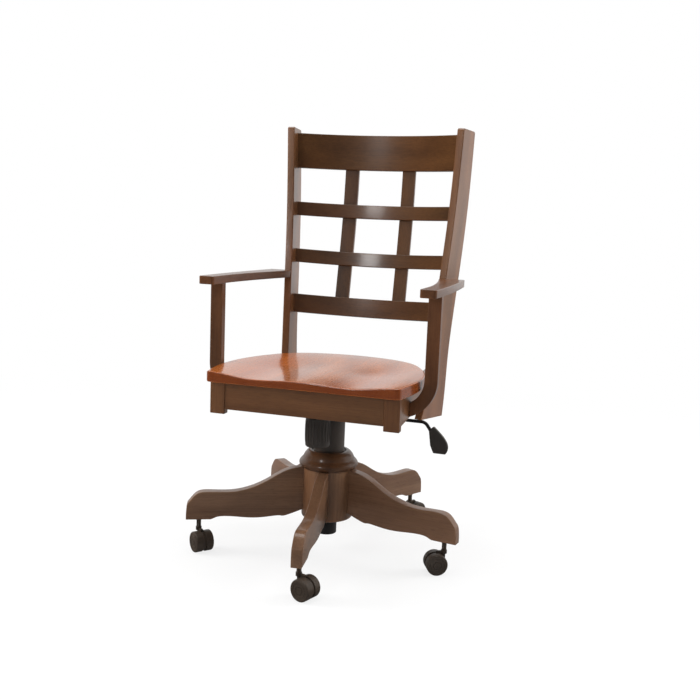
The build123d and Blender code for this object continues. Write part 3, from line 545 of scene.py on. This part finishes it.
def buildSeat(s):
    low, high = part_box("seat")
    bottom, top = low[2], high[2]
    line = seatOutline(s)
    count = len(line)
    normals = []
    for k in range(count):
        along = (line[(k + 1) % count] - line[k - 1]).normalized()
        normals.append(Vector((-along.y, along.x)))
    centre = Vector((0, -0.03))
    cage = bmesh.new()

    def ring(place, height):
        return [cage.verts.new((*place(k), height(place(k)))) for k in range(count)]

    def inset(distance):
        return lambda k: line[k] + normals[k] * distance

    def surface(p):
        return top - hollow(s, p.x, p.y)

    rings = []
    for share in (0.02, 0.5, 0.9):
        rings.append(ring(lambda k, share=share: centre.lerp(line[k], share), lambda p: bottom))
    for k in range(5):
        turn = math.radians(90 * k / 4)
        gap = s["underEdge"] * (1 - math.sin(turn))
        lift = s["underEdge"] * (1 - math.cos(turn))
        rings.append(ring(inset(gap), lambda p, lift=lift: bottom + lift))
    edgeTop = [surface(line[k]) for k in range(count)]
    rings.append([cage.verts.new((*line[k], (bottom + edgeTop[k]) / 2)) for k in range(count)])
    for k in range(7):
        turn = math.radians(90 * k / 6)
        gap = s["edge"] * (1 - math.cos(turn))
        drop = s["edge"] * (1 - math.sin(turn))
        rings.append(ring(inset(gap), lambda p, drop=drop: surface(p) - drop))
    start = [line[k] + normals[k] * s["edge"] for k in range(count)]
    for step in range(1, s["inward"] + 1):
        share = 1 - step / (s["inward"] + 0.6)
        rings.append(ring(lambda k, share=share: centre.lerp(start[k], share), surface))
    for first, second in zip(rings, rings[1:]):
        for k in range(count):
            m = (k + 1) % count
            cage.faces.new((first[k], first[m], second[m], second[k]))
    for loop, height in ((rings[0], bottom), (rings[-1], surface(centre))):
        middle = cage.verts.new((centre.x, centre.y, height))
        for k in range(count):
            cage.faces.new((loop[k], loop[(k + 1) % count], middle))
    bmesh.ops.recalc_face_normals(cage, faces=cage.faces)
    cage.verts.index_update()
    # the rim rings carry a mask that paints shade on the seat's side faces
    rim = {v.index for loop in rings[6:13] for v in loop}
    mesh = bpy.data.meshes.new("saddled_seat")
    cage.to_mesh(mesh)
    cage.free()
    grain = mesh.attributes.new("paintedSideShade", "FLOAT", "POINT")
    grain.data.foreach_set("value", [1.0 if k in rim else 0.0 for k in range(len(mesh.vertices))])
    return addPiece("saddled_seat", smoothed(mesh, 50), "seat", seatFinish, ["seat"])


buildSeat(seatSizes)
print("seat made")


# boards of the back, arms and frame

backSizes = {"bend": 0.680, "uprightOffset": 0.080}


def turnedToBend(mesh):
    # each upright slat turns with the bend of the rails that it is lapped to
    offset = backSizes["uprightOffset"]
    slope = offset / math.sqrt(backSizes["bend"] ** 2 - offset ** 2)
    for vertex in mesh.vertices:
        side = 1 if vertex.co.x > 0 else -1
        vertex.co.y -= side * (vertex.co.x - side * offset) * slope


boardFinishes = {
    "crest_rail": (crestFinish, 0.0022), "lower_rail": (railFinish, 0.0018),
    "upper_slat": (slatFinish, 0.0018), "middle_slat": (slatFinish, 0.0018),
    "upright_slats": (uprightFinish, 0.0015),
    "left_arm": (armFinish, 0.0022), "right_arm": (armFinish, 0.0022),
    "left_arm_post": (armPostFinish, 0.002), "right_arm_post": (armPostFinish, 0.002),
    "front_apron": (apronFinish, 0.0012), "rear_apron": (apronFinish, 0.0012),
    "left_apron": (sideApronFinish, 0.0012), "right_apron": (sideApronFinish, 0.0012),
    "stub_legs": (stubFinish, 0.001), "left_back_post": (postFinish, 0.001),
    "right_back_post": (postFinish, 0.001), "corner_blocks": (rawFinish, 0.001),
}
for name, (finish, edge) in boardFinishes.items():
    easedBoard(name, "seat", finish, "plain_wood" if name == "corner_blocks" else "frame_wood", edge,
               reshape=turnedToBend if name == "upright_slats" else None)
print("boards made")


# base: legs repeated round the column, turned hub and cap

legSizes = {"count": legCount, "turn": 360 / legCount, "edge": 0.0012}


def legsAround():
    shape = mergedMesh("leg_1")
    cage = bpy.data.objects.new("leg_cage", shape)
    bpy.context.scene.collection.objects.link(cage)
    bevel = cage.modifiers.new("sanded", "BEVEL")
    bevel.width = legSizes["edge"]
    bevel.segments = 2
    bevel.limit_method = "ANGLE"
    bevel.angle_limit = math.radians(50)
    shape = bakedCopy(cage)
    tree, n, given = newTree("legs_round_column", {
        "Count": ("NodeSocketInt", 5), "Turn": ("NodeSocketFloat", 72.0),
        "Finish": ("NodeSocketMaterial", None)})
    spots = n.make("GeometryNodeMeshLine", {"mode": "OFFSET"},
                   {"Count": given["Count"], "Offset": (0, 0, 0)})
    number = n.make("GeometryNodeInputIndex")
    turn = number * (given["Turn"] * (math.pi / 180))
    copies = n.make("GeometryNodeInstanceOnPoints", None, {
        "Points": spots, "Instance": given["Geometry"], "Rotation": n.vector(0.0, 0.0, turn)})
    endTree(n, copies, given["Finish"])
    mesh = grown("legs", tree, {
        "Count": legSizes["count"], "Turn": legSizes["turn"], "Finish": legFinish}, shape)
    return addPiece("base_legs", smoothed(mesh, 40), "base", legFinish,
                    [f"leg_{k + 1}" for k in range(legCount)])


legsAround()

hubSizes = {"ease": 0.008, "bore": 0.028}
capSizes = {"waist": 0.066, "neck": 0.047, "beadHigh": 0.020, "step": 0.0025, "bow": 1.8, "bowShare": 0.55,
            "rise": 1.5, "riseShare": 0.98, "gap": 0.0002, "edge": 0.001, "seat": 0.004,
            "seatRadius": 0.041, "seatEdge": 0.002, "bore": 0.028}


def buildHub(h):
    low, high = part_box("hub")
    radius, foot, top = high[0], low[2], high[2]
    profile = roundedProfile(
        [(h["bore"], foot), (radius, foot), (radius, top), (h["bore"], top)], [0, h["ease"], 0, 0])
    mesh = turnedMesh("hub_turned", profile + [profile[0]], steps=96)
    return addPiece("hub_turned", smoothed(mesh), "base", hubFinish, ["hub"])


def buildCap(c):
    low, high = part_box("hub_cap")
    widest, bottom, top = high[0], low[2], high[2]
    bead = [(c["waist"] + (widest - c["waist"]) * math.sin(math.pi * k / 12),
             bottom + c["beadHigh"] * k / 12) for k in range(13)]
    foot = bottom + c["beadHigh"]
    start = c["waist"] - c["step"]
    cove = []
    for k in range(1, 15):
        t = k / 14
        inward = t ** c["bow"] * c["bowShare"] + t * (1 - c["bowShare"])
        upward = (1 - (1 - t) ** c["rise"]) * c["riseShare"]
        cove.append((start + (c["neck"] - start) * inward, foot + (top - foot) * upward + c["gap"]))
    inner = [(c["neck"] - c["edge"], top), (c["seatRadius"] + c["seatEdge"], top),
             (c["seatRadius"], top - c["seat"]), (c["bore"], top - c["seat"]), (c["bore"], bottom)]
    profile = bead + cove + inner + [bead[0]]
    mesh = turnedMesh("cap_turned", profile, steps=96)
    return addPiece("cap_turned", smoothed(mesh, 40), "base", capFinish, ["hub_cap"])


buildHub(hubSizes)
buildCap(capSizes)
print("base made")


# telescopic cover round the column

coverSizes = {"wall": 0.0015, "lip": 0.0012, "lipHigh": 0.004, "lipShare": 0.8, "edge": 0.001,
              "hole": 0.016, "lid": 0.002}


def buildCovers(c):
    for name, body in (("outer", "lift"), ("middle", "cover"), ("inner", "base")):
        low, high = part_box("cover_" + name)
        radius, foot, top = high[0], low[2], high[2]
        inside = radius - c["wall"]
        swellOut = c["lip"] if name != "inner" else 0.0
        profile = [(inside, foot), (radius + swellOut * c["lipShare"], foot),
                   (radius + swellOut, foot + c["edge"]), (radius + swellOut, foot + c["lipHigh"]),
                   (radius, foot + c["lipHigh"] + c["lip"]), (radius, top - c["edge"]),
                   (radius - c["edge"], top)]
        if name == "outer":
            profile += [(c["hole"], top), (c["hole"], top - c["lid"]), (inside, top - c["lid"])]
        else:
            profile += [(inside, top)]
        mesh = turnedMesh("cover_" + name + "_tube", profile + [profile[0]], steps=80)
        addPiece("cover_" + name + "_tube", smoothed(mesh), body, coverFinish,
                 ["cover_" + name])


buildCovers(coverSizes)


# tension knob with moulded ribs, and the coil spring above it

knobSizes = {"inset": 0.0012, "wall": 0.003, "floor": 0.008, "bolt": 0.00505, "ease": 0.006, "edge": 0.001,
             "ribs": 24, "ribRadius": 0.0016, "ribShare": 0.84, "ribLift": 0.003}


def buildKnob(k):
    low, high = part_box("tension_knob")
    y, foot, top = (low[1] + high[1]) / 2, low[2], high[2]
    r, w = high[0] - k["inset"], k["wall"]
    profile = roundedProfile(
        [(k["bolt"], foot), (r, foot), (r, top), (r - w, top), (r - w, foot + k["floor"]),
         (k["bolt"], foot + k["floor"])],
        [0, k["ease"], k["edge"], k["edge"], k["edge"], 0])
    cup = turnedMesh("knob_cup", profile + [profile[0]], centre=(0, y, 0), steps=96)
    tree, n, given = newTree("knob_ribs", {
        "Ribs": ("NodeSocketInt", 24), "Ring Radius": ("NodeSocketFloat", 0.03),
        "Rib Radius": ("NodeSocketFloat", 0.0016), "Rib Length": ("NodeSocketFloat", 0.05),
        "Middle": ("NodeSocketVector", (0, 0, 0)), "Finish": ("NodeSocketMaterial", None)})
    ring = n.make("GeometryNodeMeshCircle", None, {"Vertices": given["Ribs"], "Radius": given["Ring Radius"]})
    rib = n.make("GeometryNodeMeshUVSphere", None,
                 {"Segments": 10, "Rings": 8, "Radius": given["Rib Radius"]})
    stretch = n.vector(1.0, 1.0, given["Rib Length"] / (given["Rib Radius"] * 2))
    longRib = n.make("GeometryNodeTransform", None, {"Geometry": rib, "Scale": stretch})
    ribs = n.make("GeometryNodeInstanceOnPoints", None, {"Points": ring, "Instance": longRib})
    placed = n.make("GeometryNodeTransform", None, {"Geometry": ribs, "Translation": given["Middle"]})
    both = n.tree.nodes.new("GeometryNodeJoinGeometry")
    n.tree.links.new(placed.out, both.inputs[0])
    n.tree.links.new(given["Geometry"].out, both.inputs[0])
    endTree(n, Sock(n.tree, both.outputs[0]), given["Finish"])
    mesh = grown("knob", tree, {
        "Ribs": k["ribs"], "Ring Radius": r, "Rib Radius": k["ribRadius"],
        "Rib Length": (top - foot) * k["ribShare"],
        "Middle": (0.0, y, (foot + top) / 2 + k["ribLift"]), "Finish": gripFinish}, cup)
    return addPiece("knob_moulded", smoothed(mesh), "knob", gripFinish, ["tension_knob"])


springSizes = {"radius": 0.0185, "wire": 0.0028, "turns": 7.5, "tiltedShare": 0.801}


def buildSpring(s):
    low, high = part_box("tilt_spring")
    y, foot, top = (low[1] + high[1]) / 2, low[2], high[2]
    tree, n, given = newTree("coil_spring", {
        "Turns": ("NodeSocketFloat", 7.5), "Coil Radius": ("NodeSocketFloat", 0.0185),
        "Wire Radius": ("NodeSocketFloat", 0.0028), "Height": ("NodeSocketFloat", 0.06),
        "Foot": ("NodeSocketVector", (0, 0, 0)), "Finish": ("NodeSocketMaterial", None)})
    coil = n.make("GeometryNodeCurveSpiral", None, {
        "Resolution": 36, "Rotations": given["Turns"], "Start Radius": given["Coil Radius"],
        "End Radius": given["Coil Radius"], "Height": given["Height"]})
    wire = n.make("GeometryNodeCurvePrimitiveCircle", None,
                  {"Resolution": 12, "Radius": given["Wire Radius"]})
    solid = n.make("GeometryNodeCurveToMesh", None,
                   {"Curve": coil, "Profile Curve": wire, "Fill Caps": True})
    placed = n.make("GeometryNodeTransform", None, {"Geometry": solid, "Translation": given["Foot"]})
    endTree(n, placed, given["Finish"])
    mesh = grown("spring", tree, {
        "Turns": s["turns"], "Coil Radius": s["radius"], "Wire Radius": s["wire"],
        "Height": top - foot - 2 * s["wire"],
        "Foot": (0.0, y, foot + s["wire"]), "Finish": springSteel})
    spring = addPiece("coil_spring", smoothed(mesh, 60), "lift", springSteel, ["tilt_spring"])
    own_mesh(spring)
    return spring


buildKnob(knobSizes)
buildSpring(springSizes)
print("knob and spring made")


# casters

wheelSizes = {
    "radius": 0.025, "gap": 0.0035, "width": 0.019, "ease": 0.0042, "cup": 0.003, "rim": 0.0035,
    "boss": 0.008, "bore": 0.00305, "boreDeep": 0.013, "play": 0.0003,
    "edge": 0.0006, "edgeHigh": 0.0007, "treadStart": 0.001, "treadEnd": 0.0002, "faceAt": 0.009,
    "groove": 0.0006, "grooveAt": 0.0078, "grooveWide": 0.0008, "slope": 0.0004,
    "capRadius": 0.0085, "capGap": 0.0006, "capGroove": 0.0011, "dish": 0.0003, "dome": 0.0002,
}


def wheelProfile(w):
    inside, outside = w["gap"], w["gap"] + w["width"]
    r, cap, mouth = w["radius"], w["capRadius"], inside + w["play"]
    profile = [(w["bore"], mouth), (w["boss"], mouth), (w["boss"], inside + w["cup"]),
               (r - w["rim"], inside + w["cup"]), (r - w["rim"], inside), (r - w["edge"], inside),
               (r, inside + w["edgeHigh"])]
    edge = roundedProfile(
        [(r, inside + w["treadStart"]), (r, outside - w["treadEnd"]), (r - w["faceAt"], outside)],
        [0, w["ease"], 0], 8)
    # a fine groove round the face, then a dished disc and a domed cap
    start = r - w["grooveAt"]
    end = start - w["slope"] - w["grooveWide"]
    face = [(start, outside), (start - w["slope"], outside - w["groove"]), (end, outside - w["groove"]),
            (end - w["slope"], outside - w["dome"] / 2), (cap + 2 * w["capGap"], outside - w["dish"]),
            (cap + w["capGap"], outside - w["capGroove"]), (cap, outside - w["capGroove"]),
            (cap - w["slope"], outside - w["dish"]), (cap / 2, outside + w["dome"] / 2),
            (0.0, outside + w["dome"])]
    inner = [(0.0, inside + w["boreDeep"]), (w["bore"], inside + w["boreDeep"]), (w["bore"], mouth)]
    return profile + edge[1:-1] + face, inner


def buildCaster(k):
    roll = joints[f"caster_roll_{k}"]
    centre, axis = Vector(roll["pos_m"]), Vector(roll["axis"]).normalized()
    outer, inner = wheelProfile(wheelSizes)
    cage = bmesh.new()
    for side in (1, -1):
        half = turnedMesh("half", outer + inner, centre=centre, axis=axis * side, steps=64)
        cage.from_mesh(half)
        bpy.data.meshes.remove(half)
    mesh = bpy.data.meshes.new(f"twin_wheels_{k}")
    cage.to_mesh(mesh)
    cage.free()
    return addPiece(f"twin_wheels_{k}", smoothed(mesh, 38), f"wheels_{k}", treadFinish,
                    [f"caster_wheels_{k}"])


for number in range(1, legCount + 1):
    buildCaster(number)
    easedBoard(f"caster_frame_{number}", f"caster_{number}", casterFinish, "caster_plastic", 0.0006, 2)
print("casters made")


# lever grip and the CAD nodes that stay

easedBoard("lever_paddle", "lever", gripFinish, "grip_plastic", 0.0003, 1, 60)

keptFinishes = {
    "mechanism_housing": coatedSteel, "seat_plate": coatedSteel, "lift_lever": coatedSteel,
    "outer_tube": tubeSteel, "column_sleeve": coatedSteel, "pressure_tube": tubeSteel,
    "piston_rod": groundSteel, "rod_clip": groundSteel, "thrust_bearing": groundSteel,
    "tilt_pin": groundSteel, "tension_bolt": groundSteel, "knob_nut": groundSteel,
    "caster_sockets": groundSteel, "guide_bushing": bushingFinish, "valve_button": valveFinish,
    "leg_dowels": rawPegFinish, "arm_dowels": rawPegFinish, "seat_screws": groundSteel,
}
for name, finish in keptFinishes.items():
    for slot in nodes[name].material_slots:
        slot.material = finish
print("kept nodes finished")


# floor, light, camera

floorLook = {"reach": 9.0, "pale": 0.86, "glow": 0.80, "near": 0.7, "far": 2.6,
             "front": 0.08, "back": 0.40}


def buildStage(s):
    # a white sweep: its glow takes over with distance, so that no horizon shows
    floorMesh = bpy.data.meshes.new("floor")
    reach = s["reach"]
    floorMesh.from_pydata([(-reach, -reach, 0), (reach, -reach, 0), (reach, reach, 0), (-reach, reach, 0)],
                          [], [(0, 1, 2, 3)])
    floor = bpy.data.objects.new("floor", floorMesh)
    bpy.context.scene.collection.objects.link(floor)
    finish, n = newFinish("white floor")
    ray = n.tree.nodes.new("ShaderNodeLightPath")
    seen = Sock(n.tree, ray.outputs["Is Camera Ray"])
    glossy = Sock(n.tree, ray.outputs["Is Glossy Ray"])
    x, y, z = n.parts(n.make("ShaderNodeTexCoord", out=3))
    away = n.make("ShaderNodeMath", {"operation": "SQRT"}, {0: x * x + y * y})
    far = n.make("ShaderNodeMapRange", {"interpolation_type": "SMOOTHSTEP"}, {
        "Value": away, "From Min": s["near"], "From Max": s["far"], "To Min": s["glow"], "To Max": 1.0})
    diffuse = n.make("ShaderNodeBsdfDiffuse", None, {"Color": (s["pale"], s["pale"], s["pale"], 1)})
    behind = n.make("ShaderNodeMapRange", {"interpolation_type": "SMOOTHSTEP"}, {
        "Value": y, "From Min": -0.4, "From Max": 0.6, "To Min": s["front"], "To Max": s["back"]})
    glow = n.make("ShaderNodeEmission", None, {
        "Color": (1, 1, 1, 1), "Strength": glossy * behind + (1.0 - glossy)})
    mixed = n.make("ShaderNodeMixShader", None, {0: seen * far + glossy, 1: diffuse, 2: glow})
    end = n.tree.nodes.new("ShaderNodeOutputMaterial")
    n.tree.links.new(mixed.out, end.inputs[0])
    floorMesh.materials.append(finish)


# a mirrored lamp shows in gloss; the others only light, so that no board or seat turns white
lamps = {
    "overhead": {"place": (0, 0.2, 3.2), "target": (0, 0, 0.4), "size": (2.4, 2.4),
                 "power": 65.0, "mirrored": True},
    "left panel": {"place": (-2.9, -0.8, 1.5), "target": (0, 0.1, 0.7), "size": (1.4, 1.8),
                   "power": 95.0, "mirrored": False},
    "right panel": {"place": (2.6, 1.2, 1.4), "target": (0, 0.1, 0.7), "size": (1.2, 1.8),
                    "power": 70.0, "mirrored": False},
    "sheen strip": {"place": (-0.77, -2.5, 1.66), "target": (0, 0.25, 0.75), "size": (0.3, 0.32),
                    "power": 7.6, "mirrored": True},
}


def addLamp(name, lampLook):
    data = bpy.data.lights.new(name, "AREA")
    data.shape = "RECTANGLE"
    data.size, data.size_y = lampLook["size"]
    data.energy = lampLook["power"]
    lamp = bpy.data.objects.new(name, data)
    place = Vector(lampLook["place"])
    lamp.location = place
    lamp.rotation_euler = (Vector(lampLook["target"]) - place).to_track_quat("-Z", "Y").to_euler()
    lamp.visible_glossy = lampLook["mirrored"]
    bpy.context.scene.collection.objects.link(lamp)


roomLook = {"fill": 0.37, "back": 0.84, "front": 0.08}


def buildWorld(s):
    # gloss sees the white sweep behind the chair and a dim room in front of it
    world = bpy.data.worlds.new("studio")
    bpy.context.scene.world = world
    world.use_nodes = True
    tree = world.node_tree
    tree.nodes.clear()
    n = Nodes(tree)
    ray = tree.nodes.new("ShaderNodeLightPath")
    camera = Sock(tree, ray.outputs["Is Camera Ray"])
    clear = Sock(tree, ray.outputs["Is Transmission Ray"])
    glossy = Sock(tree, ray.outputs["Is Glossy Ray"])
    x, y, z = n.parts(n.make("ShaderNodeTexCoord", out=0))
    mirrored = n.make("ShaderNodeMapRange", {"interpolation_type": "SMOOTHSTEP"}, {
        "Value": y, "From Min": -0.25, "From Max": 0.45, "To Min": s["front"], "To Max": s["back"]})
    white = n.make("ShaderNodeClamp", None, {0: camera + clear})
    level = white + (1.0 - white) * (glossy * mirrored + (1.0 - glossy) * s["fill"])
    back = n.make("ShaderNodeBackground", None, {"Color": (1, 1, 1, 1), "Strength": level})
    end = tree.nodes.new("ShaderNodeOutputWorld")
    tree.links.new(back.out, end.inputs[0])


view = {"azimuth": 18.113, "elevation": 8.131, "distance": 2.151, "aimHeight": 0.5,
        "yaw": -1.115, "pitch": 0.146, "roll": 2.277, "lens": 45.93}


def buildCamera(v):
    def outward(azimuth, elevation):
        a, e = math.radians(azimuth), math.radians(elevation)
        return Vector((math.sin(a) * math.cos(e), -math.cos(a) * math.cos(e), math.sin(e)))
    place = Vector((0, 0, v["aimHeight"])) + outward(v["azimuth"], v["elevation"]) * v["distance"]
    back = outward(v["azimuth"] + v["yaw"], v["elevation"] + v["pitch"])
    right = (-back).cross(Vector((0, 0, 1))).normalized()
    up = right.cross(-back)
    roll = math.radians(v["roll"])
    right, up = right * math.cos(roll) + up * math.sin(roll), up * math.cos(roll) - right * math.sin(roll)
    data = bpy.data.cameras.new("photo camera")
    data.lens = v["lens"]
    data.sensor_width = 36.0
    data.clip_end = 60.0
    camera = bpy.data.objects.new("photo camera", data)
    turn = Matrix((right, up, back)).transposed().to_4x4()
    camera.matrix_world = Matrix.Translation(place) @ turn
    bpy.context.scene.collection.objects.link(camera)
    bpy.context.scene.camera = camera


buildStage(floorLook)
buildWorld(roomLook)
for name, lampLook in lamps.items():
    addLamp(name, lampLook)
buildCamera(view)
bpy.context.scene.view_settings.view_transform = "Standard"
print("stage made")
